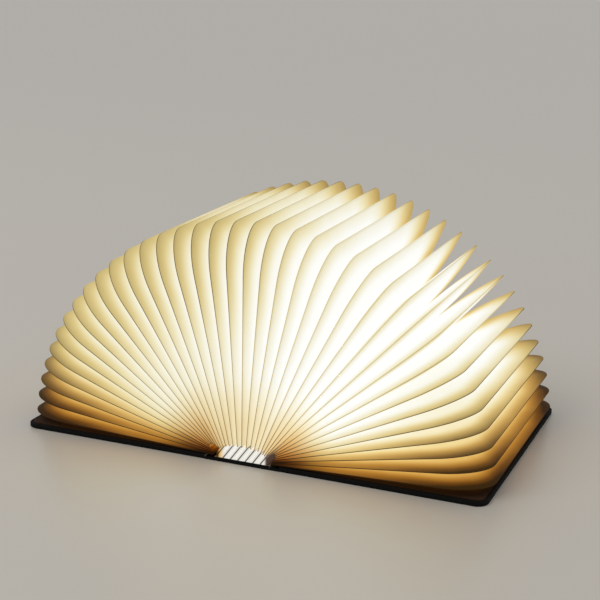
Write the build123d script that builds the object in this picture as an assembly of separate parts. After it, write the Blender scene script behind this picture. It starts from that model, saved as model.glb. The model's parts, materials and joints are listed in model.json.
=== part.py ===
from build123d import *
import math
import os

# A lamp in the shape of a hard-cover book, lying open at 180 degrees on its covers.
# X runs across the two covers, Y along the spine and Z up. The origin is under the
# middle of the spine, on the surface that the covers lie on. All sizes are in mm.

# ---- driving dimensions: the book ------------------------------------------------
BOOK_LENGTH = 215.0  # along the spine
HALF_SPAN = 185.0  # middle of the spine to the fore edge of a cover
COVER_CORNER_R = 9.0  # outer corners of the covers, seen from above
LEAST_CORNER_R = 0.5  # of an outline that is drawn in from them
CLOTH_T = 0.6  # black cloth that the boards are wrapped in
BOARD_T = 2.4  # grey board inside the cloth
TURN_IN_T = 0.5  # cloth folded over onto the inside of the board
TURN_IN_W = 12.0  # how far that fold reaches in from the edge
LINING_T = 0.5  # paper lining pasted over the board
LINING_INSET = 3.0  # bare cloth left round the lining
EDGE_BREAK = 0.5  # blunt edge where the cloth goes round the board
JOINT_GAP = 0.1  # between the hinge cloth and what it joins

# ---- driving dimensions: the pleated shade ----------------------------------------
PLEATS = 37
PAGE_PITCH = 1.12  # what one pleat takes of the stack when the book is shut
PAGE_INSET = 0.5  # pages stop this far inside the covers
SHEET_W = 45.0  # width of the U-shaped sheets that a pleat is glued from
SHEET_T = 0.3
SEAM_W = 2.5  # glued seam along the outer edge of a pleat
RIDGE_CORNER = (80.0, 26.0)  # the fold's bend, along the leg and along the outer edge
VALLEY_CORNER = (35.0, 20.0)  # the inner edge's bend, likewise
CORNER_SHOULDER = 2.5  # power of both bends: 2 is a quarter ellipse, more is squarer
SHEET_BULGE = 1.0  # how far a sheet bellies out halfway across
BULGE_SPREAD = 4.5  # a pleat's half width at the valley from which it bellies fully
FOLD_CLEARANCE = 0.08  # each side, between neighbouring pleats
STEEPER_HALFWAY = 0.43  # degrees that a pleat at 45 degrees stands above an even fan
STEEPER_ABOVE = 1.88  # degrees more at 22.5 degrees, and less at 67.5
SHIFT_HALFWAY = 10.5  # how far outside the middle line a plane at 45 degrees passes
SHIFT_ABOVE = 3.1  # how much further out at 22.5 degrees, and less at 67.5
SHORTER_ABOVE = 8.3  # the fan's radius over the spine, less than on the covers
LEAST_HALF_WIDTH = 0.42  # of a pleat, where it starts between its neighbours
CORNER_STEPS = 3
BELLIES = (2, 5, 7, 10)  # the points halfway across a sheet, in a pleat's section

# ---- driving dimensions: the spine and the root blocks -----------------------------
SPINE_MARGIN = 1.3  # spine beyond the stack of pages on each side
COVER_CLEARANCE = 0.4  # shut cover to the side of the spine
ROOT_CLEARANCE = 0.3  # root block to the feet of the pages
ROOT_RECESS = 0.4  # root block behind the edges of the pages
ROOT_BASE_T = 1.3  # uncut foot of the root block
ROOT_RISE = 9.4  # root block over the covers
ROOT_SHOULDER = 2.5  # power of its arched top: 2 is an ellipse, more is squarer
ARCH_STEPS = 9  # flats on each half of that top
SLAB_PITCH = 3.0  # bundles of feet in the root block
SLAB_GAP_WIDE = 0.6
SLAB_GAP_THIN = 0.35
SLAB_LEAN = 36.0  # degrees that the bundles lean to the right

# ---- driving dimensions: the light -------------------------------------------------
CHANNEL_END_GAP = 2.0  # channel to the root block at each end
CHANNEL_W = 33.0
CHANNEL_WALL = 1.0
CHANNEL_FLOOR = 1.2
LEDGE_Z = 7.8  # ledge that carries the lamp board, above the spine board
LEDGE_W = 1.8
LEDGE_T = 0.8
LIP_ABOVE_BOARD = 0.2
LAMP_BOARD_T = 1.6
BOARD_CLEARANCE = 0.15
LAMP_ROWS = 2
LAMP_SIZE = (2.8, 3.5, 0.8)
LAMP_ROW_SPACING = 12.0
LAMP_PITCH = 9.4
DIFFUSER_RISE = 6.0
DIFFUSER_T = 1.2
CELL_SIZE = (25.0, 58.0, 5.2)
CELL_ROUND = 1.6
CELL_INSET = 10.0  # cell from the channel's near end
TAB_W = 3.0
TAB_T = 0.2
TAB_SPACING = 9.0
TAB_LAP = 3.0  # how far a tab lies on the control board
CONTROL_W = 14.0
CONTROL_T = 1.2
CONTROL_GAP = 5.0  # cell to the control board
SOLDERED_PARTS = [  # x, distance from the near end, width, length and height of each
    (0.0, 13.0, 5.0, 5.0, 1.0),
    (-3.4, 23.0, 3.0, 4.4, 1.4),
    (3.2, 27.0, 4.0, 3.0, 1.6),
    (0.0, 39.0, 6.0, 6.0, 2.8),
    (2.0, 53.0, 2.9, 1.6, 1.1),
    (-2.0, 67.0, 4.9, 3.9, 1.5),
]
SCREW_R = 1.0
SCREW_HEAD_R = 2.1
SCREW_HEAD_T = 1.3
SCREW_DEPTH = 1.8  # thread in the spine board
SCREW_FIT = 0.05
SCREW_X = 11.5
SCREW_INSET = 4.0  # from the channel's end
MAGNET_R = 5.0
MAGNET_T = 2.0
MAGNET_FIT = 0.1
MAGNET_EDGE = 14.0  # centre of a magnet, in from the fore edge
MAGNET_Y = 80.0

# ---- driving dimensions: the charging socket ----------------------------------------
SOCKET_W = 8.94
SOCKET_H = 3.26
SOCKET_DEPTH = 7.35
SOCKET_WALL = 0.3
SOCKET_BACK = 1.1
TONGUE_W = 6.69
TONGUE_T = 0.7
TONGUE_L = 4.45
SOCKET_FIT = 0.15
TUNNEL_W = 17.0
TUNNEL_H = 5.0
FACE_T = 1.5  # root block's wall round the socket
PIPE_R = 1.0
PIPE_L = 6.0
PIPE_X = 6.6
PIPE_FIT = 0.05

# ---- sizes worked out from them ----------------------------------------------------
HALF_LENGTH = BOOK_LENGTH / 2
BOARD_TOP = CLOTH_T + BOARD_T
TURN_IN_TOP = BOARD_TOP + TURN_IN_T
COVER_TOP = TURN_IN_TOP + LINING_T
HALF_STACK = PLEATS * PAGE_PITCH / 2
HALF_SPINE = HALF_STACK + SPINE_MARGIN
HINGE_Z = CLOTH_T / 2
HINGE_X = HALF_SPINE + COVER_CLEARANCE + COVER_TOP - HINGE_Z
COVER_START = 2 * HINGE_X - HALF_SPINE  # inner edge of a cover
FOLD_ANGLE = math.pi / PLEATS  # from one pleat to the next in an even fan
PAGE_HALF_LENGTH = HALF_LENGTH - PAGE_INSET
CHANNEL_HALF = PAGE_HALF_LENGTH - SHEET_W - CHANNEL_END_GAP
LAMP_BOARD_HALF = CHANNEL_HALF - DIFFUSER_T - BOARD_CLEARANCE
LAMPS_PER_ROW = int(2 * LAMP_BOARD_HALF / LAMP_PITCH)
SCREW_Y = CHANNEL_HALF - SCREW_INSET
CELL_END = CELL_INSET - CHANNEL_HALF + CELL_SIZE[1]
CONTROL_START = CELL_END + CONTROL_GAP
CONTROL_END = PAGE_HALF_LENGTH - ROOT_RECESS - FACE_T
CHANNEL_FLOOR_TOP = BOARD_TOP + CHANNEL_FLOOR
LEDGE_TOP = BOARD_TOP + LEDGE_Z + LEDGE_T
LAMP_BOARD_TOP = LEDGE_TOP + LAMP_BOARD_T
CHANNEL_TOP = LAMP_BOARD_TOP + LIP_ABOVE_BOARD
CONTROL_TOP = CHANNEL_FLOOR_TOP + CONTROL_T


def block(x0, x1, y0, y1, z0, z1):
    """A straight block between two corners."""
    size = Box(x1 - x0, y1 - y0, z1 - z0)
    return Pos((x0 + x1) / 2, (y0 + y1) / 2, (z0 + z1) / 2) * size


def mirrored(shape):
    """The same piece on the left side of the book."""
    return mirror(shape, about=Plane.YZ)


# ---- the pleats ---------------------------------------------------------------------
def open_angle(place):
    """Lean of the pleat at this place, from upright. Places count from the middle."""
    even = place * FOLD_ANGLE
    steeper = STEEPER_HALFWAY * math.sin(2 * even) + STEEPER_ABOVE * math.sin(4 * even)
    return even - math.radians(steeper)


def plane_shift(place):
    """How far from the middle line of the fan this pleat's plane passes. The root block
    spreads the feet, so the planes don't meet in one line."""
    even = place * FOLD_ANGLE
    return SHIFT_HALFWAY * math.sin(2 * even) + SHIFT_ABOVE * math.sin(4 * even)


def fan_radius(place):
    """Distance of a pleat's outer edge from the middle line of the fan."""
    return HALF_SPAN - PAGE_INSET - SHORTER_ABOVE * math.cos(place * FOLD_ANGLE)


def side_room(place, beside):
    """Room on one side of a pleat: its width level with the middle line, and the angle by
    which it widens outward."""
    turn = (open_angle(place + beside) - open_angle(place)) * math.copysign(1, beside)
    shift = plane_shift(place + beside) / math.cos(turn) - plane_shift(place)
    return shift * math.copysign(1, beside) - FOLD_CLEARANCE, turn


def rooms(place):
    """Room on the left and on the right of a pleat."""
    return side_room(place, -0.5), side_room(place, 0.5)


def in_root_block(place, reach, sideways):
    """Whether a point beside a pleat's plane lies in the root block's section."""
    lean = open_angle(place)
    out = plane_shift(place) - sideways
    x = out * math.cos(lean) + reach * math.sin(lean)
    rise = max(0.0, reach * math.cos(lean) - out * math.sin(lean))
    across = abs(x / HALF_STACK) ** ROOT_SHOULDER
    return across + (rise / ROOT_RISE) ** ROOT_SHOULDER < 1


def foot_reach(place):
    """Where a pleat starts: off the root block, and as wide as its two sheets at least."""
    (left, left_turn), (right, right_turn) = rooms(place)
    low, high = 0.0, HALF_SPAN / 2
    for _ in range(30):
        reach = (low + high) / 2
        sides = (left + reach * math.tan(left_turn), -right - reach * math.tan(right_turn))
        if any(in_root_block(place, reach, side) for side in sides):
            low = reach
        else:
            high = reach
    wide_enough = [(LEAST_HALF_WIDTH - room) / math.tan(turn) for room, turn in rooms(place)]
    return max(high + ROOT_CLEARANCE, *wide_enough)


def fold_section(ridge, valley, left, right):
    """Corners of a pleat's V section between a point of its outer edge and one of its
    inner edge, both as (reach, y). Two sheets are glued flat at the seam and part behind
    it, each into the room on its own side."""
    across = Vector(valley[0] - ridge[0], valley[1] - ridge[1])
    width = across.length
    along = across.normalized()
    half = SEAM_W + (width - SEAM_W) / 2
    sheets = []
    for room, turn in (left, right):
        spread = room + valley[0] * math.tan(turn)
        bulge = SHEET_BULGE * min(1.0, spread / BULGE_SPREAD)
        belly = (SHEET_T + spread) / 2 + bulge
        outside = [(SEAM_W, SHEET_T), (half, belly), (width, spread)]
        sheets.append(outside + [(width, spread - SHEET_T), (half, belly - SHEET_T)])
    upper, lower = sheets
    ring = [(0, 0)] + upper + [(SEAM_W, 0)] + [(m, -n) for m, n in reversed(lower)]
    return [Vector(ridge[0] + along.X * m, ridge[1] + along.Y * m, n) for m, n in ring]


def corner(reach, half_length, bend, turn):
    """A point of a bend at the near end, turn running from 0 to 90 degrees."""
    angle = math.radians(turn)
    outward = math.sin(angle) ** (2 / CORNER_SHOULDER)
    across = max(0.0, math.cos(angle)) ** (2 / CORNER_SHOULDER)
    return reach - bend[0] * (1 - outward), -half_length + bend[1] * (1 - across)


def facet(*corners):
    return Face(Wire.make_polygon(corners, close=True))


def strip(ring, after, outward):
    """Facets between two sections of a pleat. The crease of each pair runs to the belly
    of the section that is further out, so that both faces of a sheet bend alike."""
    facets = []
    for index, point in enumerate(ring):
        beside = (index + 1) % len(ring)
        if (beside in BELLIES) == outward:
            facets.append(facet(point, ring[beside], after[beside]))
            facets.append(facet(point, after[beside], after[index]))
        else:
            facets.append(facet(point, ring[beside], after[index]))
            facets.append(facet(ring[beside], after[beside], after[index]))
    return facets


def page(place):
    """One pleat, lying along +X from the middle line: a V section carried round a U, in
    flat facets, because the paper between two folds isn't stretched."""
    reach = math.sqrt(fan_radius(place) ** 2 - plane_shift(place) ** 2)
    inner_half = PAGE_HALF_LENGTH - SHEET_W
    start = foot_reach(place)
    near = [((start, -PAGE_HALF_LENGTH), (start, -inner_half))]
    for step in range(CORNER_STEPS + 1):
        turn = 90.0 * step / CORNER_STEPS
        ridge = corner(reach, PAGE_HALF_LENGTH, RIDGE_CORNER, turn)
        valley = corner(reach - SHEET_W, inner_half, VALLEY_CORNER, turn)
        near.append((ridge, valley))
    far = [((rx, -ry), (vx, -vy)) for (rx, ry), (vx, vy) in reversed(near)]
    rings = [fold_section(*edges, *rooms(place)) for edges in near + far]
    faces = [facet(*rings[0]), facet(*rings[-1])]
    for index, (ring, after) in enumerate(zip(rings, rings[1:])):
        faces += strip(ring, after, outward=index < len(near))
    return Solid(Shell(faces))


def page_place(place):
    """Location of the page at this place of the open fan. It turns about the line where
    this plane meets the upright one that it has in the shut book's even stack."""
    lean = open_angle(place)
    shift = plane_shift(place)
    middle = (shift * math.cos(lean), 0, COVER_TOP - shift * math.sin(lean))
    outward = (math.sin(lean), 0, math.cos(lean))
    sideways = (-math.cos(lean), 0, math.sin(lean))
    return Plane(origin=middle, x_dir=outward, z_dir=sideways).location


# ---- the covers ---------------------------------------------------------------------
def cover_plan(inset):
    """Outline of the right cover, drawn in from its three free edges."""
    radius = max(COVER_CORNER_R - inset, LEAST_CORNER_R)
    length = HALF_SPAN - inset - COVER_START
    sheet = Pos(COVER_START + length / 2, 0) * Rectangle(
        length, BOOK_LENGTH - 2 * inset
    )
    fore_corners = sheet.vertices().group_by(Axis.X)[-1]
    return fillet(fore_corners, radius)


def cover_layer(inset, bottom, height):
    return Pos(0, 0, bottom) * extrude(cover_plan(inset), height)


def cover_wrap():
    """Cloth round the board: under it, up its edges and folded over onto it."""
    cloth = cover_layer(0, 0, TURN_IN_TOP)
    rims = [
        e
        for e in cloth.edges()
        if abs(e.center().Z - TURN_IN_TOP / 2) > TURN_IN_TOP / 4
        and e.center().X > COVER_START + EDGE_BREAK
    ]
    cloth = chamfer(rims, EDGE_BREAK)
    cloth -= cover_layer(CLOTH_T, CLOTH_T, BOARD_T)
    return cloth - cover_layer(TURN_IN_W, BOARD_TOP, TURN_IN_T)


def magnet_places():
    return [
        Pos(HALF_SPAN - MAGNET_EDGE, y, BOARD_TOP - MAGNET_T / 2)
        for y in (-MAGNET_Y, MAGNET_Y)
    ]


def cover_board():
    board = cover_layer(CLOTH_T, CLOTH_T, BOARD_T)
    for place in magnet_places():
        board -= place * Cylinder(MAGNET_R + MAGNET_FIT, MAGNET_T)
    return board


def cover_magnets():
    return Compound(
        children=[place * Cylinder(MAGNET_R, MAGNET_T) for place in magnet_places()]
    )


def cover_lining():
    """Paper lining: it fills the field inside the folded cloth and laps over the fold."""
    field = cover_layer(TURN_IN_W, BOARD_TOP, TURN_IN_T)
    return field + cover_layer(LINING_INSET, TURN_IN_TOP, LINING_T)


def hinge_cloth():
    """Cloth between the spine and the right cover, pressed up into a shallow groove."""
    x0 = HALF_SPINE + JOINT_GAP
    x1 = COVER_START - JOINT_GAP
    middle = (x0 + x1) / 2
    low = ThreePointArc((x0, 0, 0), (middle, 0, CLOTH_T), (x1, 0, 0))
    high = ThreePointArc(
        (x0, 0, CLOTH_T), (middle, 0, 2 * CLOTH_T), (x1, 0, CLOTH_T)
    )
    sides = [Line(low @ 0, high @ 0), Line(low @ 1, high @ 1)]
    section = make_face([low, high] + sides)
    return extrude(section, BOOK_LENGTH / 2, dir=(0, 1, 0), both=True)


# ---- the spine ----------------------------------------------------------------------
def screw_places():
    return [(x, y) for x in (-SCREW_X, SCREW_X) for y in (-SCREW_Y, SCREW_Y)]


def screw_holes():
    """Pilot holes through the channel's floor into the spine board."""
    depth = SCREW_DEPTH + CHANNEL_FLOOR
    hole = Cylinder(SCREW_R + SCREW_FIT, depth)
    z = CHANNEL_FLOOR_TOP - depth / 2
    return [Pos(x, y, z) * hole for x, y in screw_places()]


def spine_wrap():
    cloth = block(-HALF_SPINE, HALF_SPINE, -HALF_LENGTH, HALF_LENGTH, 0, BOARD_TOP)
    inside = HALF_LENGTH - CLOTH_T
    return cloth - block(
        -HALF_SPINE, HALF_SPINE, -inside, inside, CLOTH_T, BOARD_TOP
    )


def spine_board():
    inside = HALF_LENGTH - CLOTH_T
    board = block(-HALF_SPINE, HALF_SPINE, -inside, inside, CLOTH_T, BOARD_TOP)
    for hole in screw_holes():
        board -= hole
    return board


def root_arch():
    """Section of the root block: a flat foot under the curve on which the pages stand."""
    points = []
    for step in range(-ARCH_STEPS, ARCH_STEPS + 1):
        turn = math.radians(90.0 * step / ARCH_STEPS)
        across = abs(math.sin(turn)) ** (2 / ROOT_SHOULDER)
        up = max(0.0, math.cos(turn)) ** (2 / ROOT_SHOULDER)
        x = math.copysign(HALF_STACK * across, turn)
        points.append((x, 0, COVER_TOP + ROOT_RISE * up))
    left = (points[0][0], 0, BOARD_TOP)
    right = (points[-1][0], 0, BOARD_TOP)
    return make_face(Polyline(*points, right, left, close=True))


def root_block(far):
    """Feet of the pages, glued into leaning bundles on a common foot."""
    outer = PAGE_HALF_LENGTH - ROOT_RECESS
    length = SHEET_W - ROOT_RECESS
    body = extrude(root_arch(), length, dir=(0, 1, 0))
    body = Pos(0, -outer, 0) * body
    floor = BOARD_TOP + ROOT_BASE_T
    if far:
        floor = CHANNEL_FLOOR_TOP + TUNNEL_H + ROOT_BASE_T
    height = COVER_TOP + ROOT_RISE - floor + ROOT_BASE_T
    count = int(2 * HALF_STACK / SLAB_PITCH)
    for index in range(count + 1):
        gap = SLAB_GAP_WIDE if index % 2 else SLAB_GAP_THIN
        x = (index - count / 2) * SLAB_PITCH - height / 2 * math.tan(
            math.radians(SLAB_LEAN)
        )
        slot = Pos(0, 0, height) * Box(gap, 2 * length, 2 * height)
        cut = Pos(x, -outer + length / 2, floor) * Rot(0, SLAB_LEAN, 0) * slot
        above = block(
            -HALF_SPINE, HALF_SPINE, -outer, -outer + length, floor, floor + height
        )
        body -= cut & above
    if not far:
        return body
    body = mirror(body, about=Plane.XZ)
    tunnel = block(
        -TUNNEL_W / 2,
        TUNNEL_W / 2,
        0,
        outer - FACE_T,
        CHANNEL_FLOOR_TOP,
        CHANNEL_FLOOR_TOP + TUNNEL_H,
    )
    mouth = socket_outline(SOCKET_FIT)
    body -= tunnel
    body -= extrude(mouth, SOCKET_DEPTH, dir=(0, 1, 0), both=True)
    return body - pipe_place() * Cylinder(PIPE_R + PIPE_FIT, 2 * PIPE_L)


# ---- the light ----------------------------------------------------------------------
def light_channel():
    """Aluminium channel with a ledge along each wall for the lamp board."""
    half = CHANNEL_W / 2
    wall = half - CHANNEL_WALL
    ledge = wall - LEDGE_W
    shelf = BOARD_TOP + LEDGE_Z
    right = [
        (0, BOARD_TOP),
        (half, BOARD_TOP),
        (half, CHANNEL_TOP),
        (wall, CHANNEL_TOP),
        (wall, LEDGE_TOP),
        (ledge, LEDGE_TOP),
        (ledge, shelf),
        (wall, shelf),
        (wall, CHANNEL_FLOOR_TOP),
        (0, CHANNEL_FLOOR_TOP),
    ]
    outline = right + [(-x, z) for x, z in reversed(right[1:-1])]
    section = make_face(Polyline(*[(x, 0, z) for x, z in outline], close=True))
    channel = extrude(section, CHANNEL_HALF, dir=(0, 1, 0), both=True)
    for hole in screw_holes():
        channel -= hole
    return channel


def channel_screws():
    head_z = CHANNEL_FLOOR_TOP + SCREW_HEAD_T / 2
    shank_length = CHANNEL_FLOOR + SCREW_DEPTH
    shank_z = CHANNEL_FLOOR_TOP - shank_length / 2
    screws = []
    for x, y in screw_places():
        head = Pos(x, y, head_z) * Cylinder(SCREW_HEAD_R, SCREW_HEAD_T)
        screws.append(head + Pos(x, y, shank_z) * Cylinder(SCREW_R, shank_length))
    return Compound(children=screws)


def lamp_board():
    half = CHANNEL_W / 2 - CHANNEL_WALL - BOARD_CLEARANCE
    return block(
        -half, half, -LAMP_BOARD_HALF, LAMP_BOARD_HALF, LEDGE_TOP, LAMP_BOARD_TOP
    )


def lamps():
    """The light-emitting packages on the lamp board, one solid each."""
    width, length, height = LAMP_SIZE
    found = []
    for row in range(LAMP_ROWS):
        x = (row - (LAMP_ROWS - 1) / 2) * LAMP_ROW_SPACING
        for index in range(LAMPS_PER_ROW):
            y = (index - (LAMPS_PER_ROW - 1) / 2) * LAMP_PITCH
            found.append(
                Pos(x, y, LAMP_BOARD_TOP + height / 2) * Box(width, length, height)
            )
    return Compound(children=found)


def arched_bar(half, rise, half_length):
    """A bar with a flat underside at the channel's top edge and an arched top."""
    arch = ThreePointArc(
        (-half, 0, CHANNEL_TOP), (0, 0, CHANNEL_TOP + rise), (half, 0, CHANNEL_TOP)
    )
    section = make_face([arch, Line(arch @ 1, arch @ 0)])
    return extrude(section, half_length, dir=(0, 1, 0), both=True)


def light_diffuser():
    """Frosted cap that closes the channel. Its rim stands on the channel's walls."""
    half = CHANNEL_W / 2
    cap = arched_bar(half, DIFFUSER_RISE, CHANNEL_HALF)
    inside = arched_bar(
        half - DIFFUSER_T, DIFFUSER_RISE - DIFFUSER_T, CHANNEL_HALF - DIFFUSER_T
    )
    return cap - inside


def battery_cell():
    """Pouch cell lying in the channel, with two tabs that reach the control board."""
    width, length, height = CELL_SIZE
    pouch = Box(width, length, height)
    pouch = fillet(pouch.edges().filter_by(Axis.Y), CELL_ROUND)
    z = CHANNEL_FLOOR_TOP + height / 2
    cell = Pos(0, CELL_END - length / 2, z) * pouch
    for side in (-1, 1):
        x = side * TAB_SPACING / 2
        cell += block(
            x - TAB_W / 2,
            x + TAB_W / 2,
            CELL_END - TAB_LAP,
            CONTROL_START + TAB_LAP,
            CONTROL_TOP,
            CONTROL_TOP + TAB_T,
        )
    return cell


def control_board():
    """Charging and switching board, from the cell to the socket at the far end."""
    half = CONTROL_W / 2
    board = block(
        -half, half, CONTROL_START, CONTROL_END, CHANNEL_FLOOR_TOP, CONTROL_TOP
    )
    for x, along, width, length, height in SOLDERED_PARTS:
        place = Pos(x, CONTROL_START + along, CONTROL_TOP + height / 2)
        board += place * Box(width, length, height)
    return board


def socket_outline(grow):
    """Rounded mouth of the charging socket, in the plane of its rim."""
    height = SOCKET_H + 2 * grow
    outline = SlotOverall(SOCKET_W + 2 * grow, height)
    rim = Plane(
        origin=(0, PAGE_HALF_LENGTH - ROOT_RECESS, CONTROL_TOP + SOCKET_H / 2),
        x_dir=(1, 0, 0),
        z_dir=(0, -1, 0),
    )
    return rim * outline


def charge_socket():
    """Reversible charging socket: a steel shell with a contact tongue inside."""
    shell = extrude(socket_outline(0), SOCKET_DEPTH, dir=(0, -1, 0))
    hollow = extrude(
        socket_outline(-SOCKET_WALL), SOCKET_DEPTH - SOCKET_BACK, dir=(0, -1, 0)
    )
    back = PAGE_HALF_LENGTH - ROOT_RECESS - SOCKET_DEPTH + SOCKET_BACK
    middle = CONTROL_TOP + SOCKET_H / 2
    tongue = block(
        -TONGUE_W / 2,
        TONGUE_W / 2,
        back,
        back + TONGUE_L,
        middle - TONGUE_T / 2,
        middle + TONGUE_T / 2,
    )
    return shell - hollow + tongue


def pipe_place():
    """Middle of the light pipe beside the socket, along Y."""
    y = PAGE_HALF_LENGTH - ROOT_RECESS - PIPE_L / 2
    return Pos(PIPE_X, y, CONTROL_TOP + SOCKET_H / 2) * Rot(90, 0, 0)


def charge_indicator():
    return pipe_place() * Cylinder(PIPE_R, PIPE_L)


# ---- all pieces ----------------------------------------------------------------------
def pieces():
    """Every piece by its name."""
    right = {
        "cover_wrap": cover_wrap(),
        "cover_board": cover_board(),
        "cover_lining": cover_lining(),
        "cover_magnets": cover_magnets(),
        "hinge_cloth": hinge_cloth(),
    }
    made = {f"right_{name}": shape for name, shape in right.items()}
    made |= {f"left_{name}": mirrored(shape) for name, shape in right.items()}
    made |= {
        "spine_wrap": spine_wrap(),
        "spine_board": spine_board(),
        "near_root_block": root_block(far=False),
        "far_root_block": root_block(far=True),
        "light_channel": light_channel(),
        "channel_screws": channel_screws(),
        "lamp_board": lamp_board(),
        "lamps": lamps(),
        "light_diffuser": light_diffuser(),
        "battery_cell": battery_cell(),
        "control_board": control_board(),
        "charge_socket": charge_socket(),
        "charge_indicator": charge_indicator(),
    }
    for index in range(PLEATS):
        place = index - (PLEATS - 1) / 2
        made[f"page_{index + 1:02d}"] = page_place(place) * page(place)
    return made


os.makedirs("parts", exist_ok=True)
for name, shape in pieces().items():
    export_step(shape, f"parts/{name}.step")
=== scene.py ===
"""Folding book lamp: lit paper pleats between two cloth-bound covers, on a spine that holds the light.

All lengths are in metres and all angles in radians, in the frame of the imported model: +X to the right over
the open covers, +Y along the spine, +Z up.
"""

from __future__ import annotations

import json
import logging
import math
from dataclasses import dataclass, field
from enum import Enum
from typing import Any, Iterable, Mapping, Sequence

import bpy
import numpy as np
from mathutils import Matrix, Vector

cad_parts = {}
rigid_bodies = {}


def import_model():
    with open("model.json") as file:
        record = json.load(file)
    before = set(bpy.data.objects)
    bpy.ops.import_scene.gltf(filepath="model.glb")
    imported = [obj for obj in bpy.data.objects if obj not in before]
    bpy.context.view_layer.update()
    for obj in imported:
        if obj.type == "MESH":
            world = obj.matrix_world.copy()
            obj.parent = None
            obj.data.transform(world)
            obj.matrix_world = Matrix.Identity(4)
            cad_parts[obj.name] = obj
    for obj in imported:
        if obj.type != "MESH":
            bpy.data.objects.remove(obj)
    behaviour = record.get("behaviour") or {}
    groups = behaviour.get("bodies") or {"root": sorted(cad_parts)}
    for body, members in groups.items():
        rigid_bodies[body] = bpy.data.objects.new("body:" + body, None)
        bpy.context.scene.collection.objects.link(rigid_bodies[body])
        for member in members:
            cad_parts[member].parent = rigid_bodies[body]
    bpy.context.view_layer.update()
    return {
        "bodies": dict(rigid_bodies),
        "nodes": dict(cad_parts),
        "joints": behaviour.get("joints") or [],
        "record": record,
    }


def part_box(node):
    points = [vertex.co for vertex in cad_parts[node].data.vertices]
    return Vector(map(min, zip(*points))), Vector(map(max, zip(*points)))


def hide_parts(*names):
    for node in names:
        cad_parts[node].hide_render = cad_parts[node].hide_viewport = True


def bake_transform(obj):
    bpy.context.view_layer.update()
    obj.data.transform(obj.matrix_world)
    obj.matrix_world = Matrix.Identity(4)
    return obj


log = logging.getLogger("book_lamp")

MM = 0.001
RIGHT_ANGLE = math.pi / 2

BISECTIONS = 40

# The curve between a screen's numbers and light: a straight toe, then a power.
TOE_END = 0.04045
TOE_SLOPE = 12.92
CURVE_OFFSET = 0.055
CURVE_POWER = 2.4

Colour = tuple[float, float, float, float]
Ramp = tuple[tuple[float, Colour], ...]
Scale = tuple[float, float, float]
Step = tuple[float, float]
PlanePoint = tuple[float, float]


def channel_light(channel: int) -> float:
    """The light, from 0 to 1, of one channel that a screen shows as 0 to 255."""
    shown = channel / 255
    if shown <= TOE_END:
        return shown / TOE_SLOPE
    return ((shown + CURVE_OFFSET) / (1 + CURVE_OFFSET)) ** CURVE_POWER


def paint(red: int, green: int, blue: int) -> Colour:
    """Turns a colour as a screen shows it into the linear one that a shader takes.

    Args:
        red: Red, from 0 to 255.
        green: Green, from 0 to 255.
        blue: Blue, from 0 to 255.

    Returns:
        The linear colour with an alpha of 1.
    """
    return channel_light(red), channel_light(green), channel_light(blue), 1.0


class Side(Enum):
    """The two sides of the book, by the sign of their X."""

    LEFT = -1
    RIGHT = 1

    @property
    def word(self) -> str:
        """The side as the nodes' names have it."""
        return self.name.lower()


# ---------------------------------------------------------------- shader maths


class Value:
    """A number that varies over a surface, for use in Python expressions."""

    def __init__(self, graph: Graph, socket: bpy.types.NodeSocket) -> None:
        """Wraps a node's output.

        Args:
            graph: The material's node tree that the output is in.
            socket: The output itself.
        """
        self.graph = graph
        self.socket = socket

    def _math(self, operation: str, *numbers: Value | float) -> Value:
        """One Math node on these numbers."""
        node = self.graph.add("ShaderNodeMath", {"operation": operation}, dict(enumerate(numbers)))
        return Value(self.graph, node.outputs[0])

    def __add__(self, other: Value | float) -> Value:
        """self + other."""
        return self._math("ADD", self, other)

    __radd__ = __add__

    def __sub__(self, other: Value | float) -> Value:
        """self - other."""
        return self._math("SUBTRACT", self, other)

    def __rsub__(self, other: Value | float) -> Value:
        """other - self."""
        return self._math("SUBTRACT", other, self)

    def __mul__(self, other: Value | float) -> Value:
        """self * other."""
        return self._math("MULTIPLY", self, other)

    __rmul__ = __mul__

    def __neg__(self) -> Value:
        """self with the other sign."""
        return 0 - self

    def __abs__(self) -> Value:
        """The size of self without its sign."""
        return self._math("ABSOLUTE", self)

    def sine(self) -> Value:
        """The sine of self."""
        return self._math("SINE", self)

    def at_least(self, other: Value | float) -> Value:
        """The larger of the two."""
        return self._math("MAXIMUM", self, other)

    def rise(self, low: float, high: float) -> Value:
        """A smooth step from 0 at low to 1 at high, which may be the smaller number of the two."""
        first = 0.0 if low < high else 1.0
        places = {"From Min": min(low, high), "From Max": max(low, high)}
        node = self.graph.add(
            "ShaderNodeMapRange",
            {"interpolation_type": "SMOOTHSTEP"},
            {"Value": self, **places, "To Min": first, "To Max": 1 - first},
        )
        return Value(self.graph, node.outputs["Result"])


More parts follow.
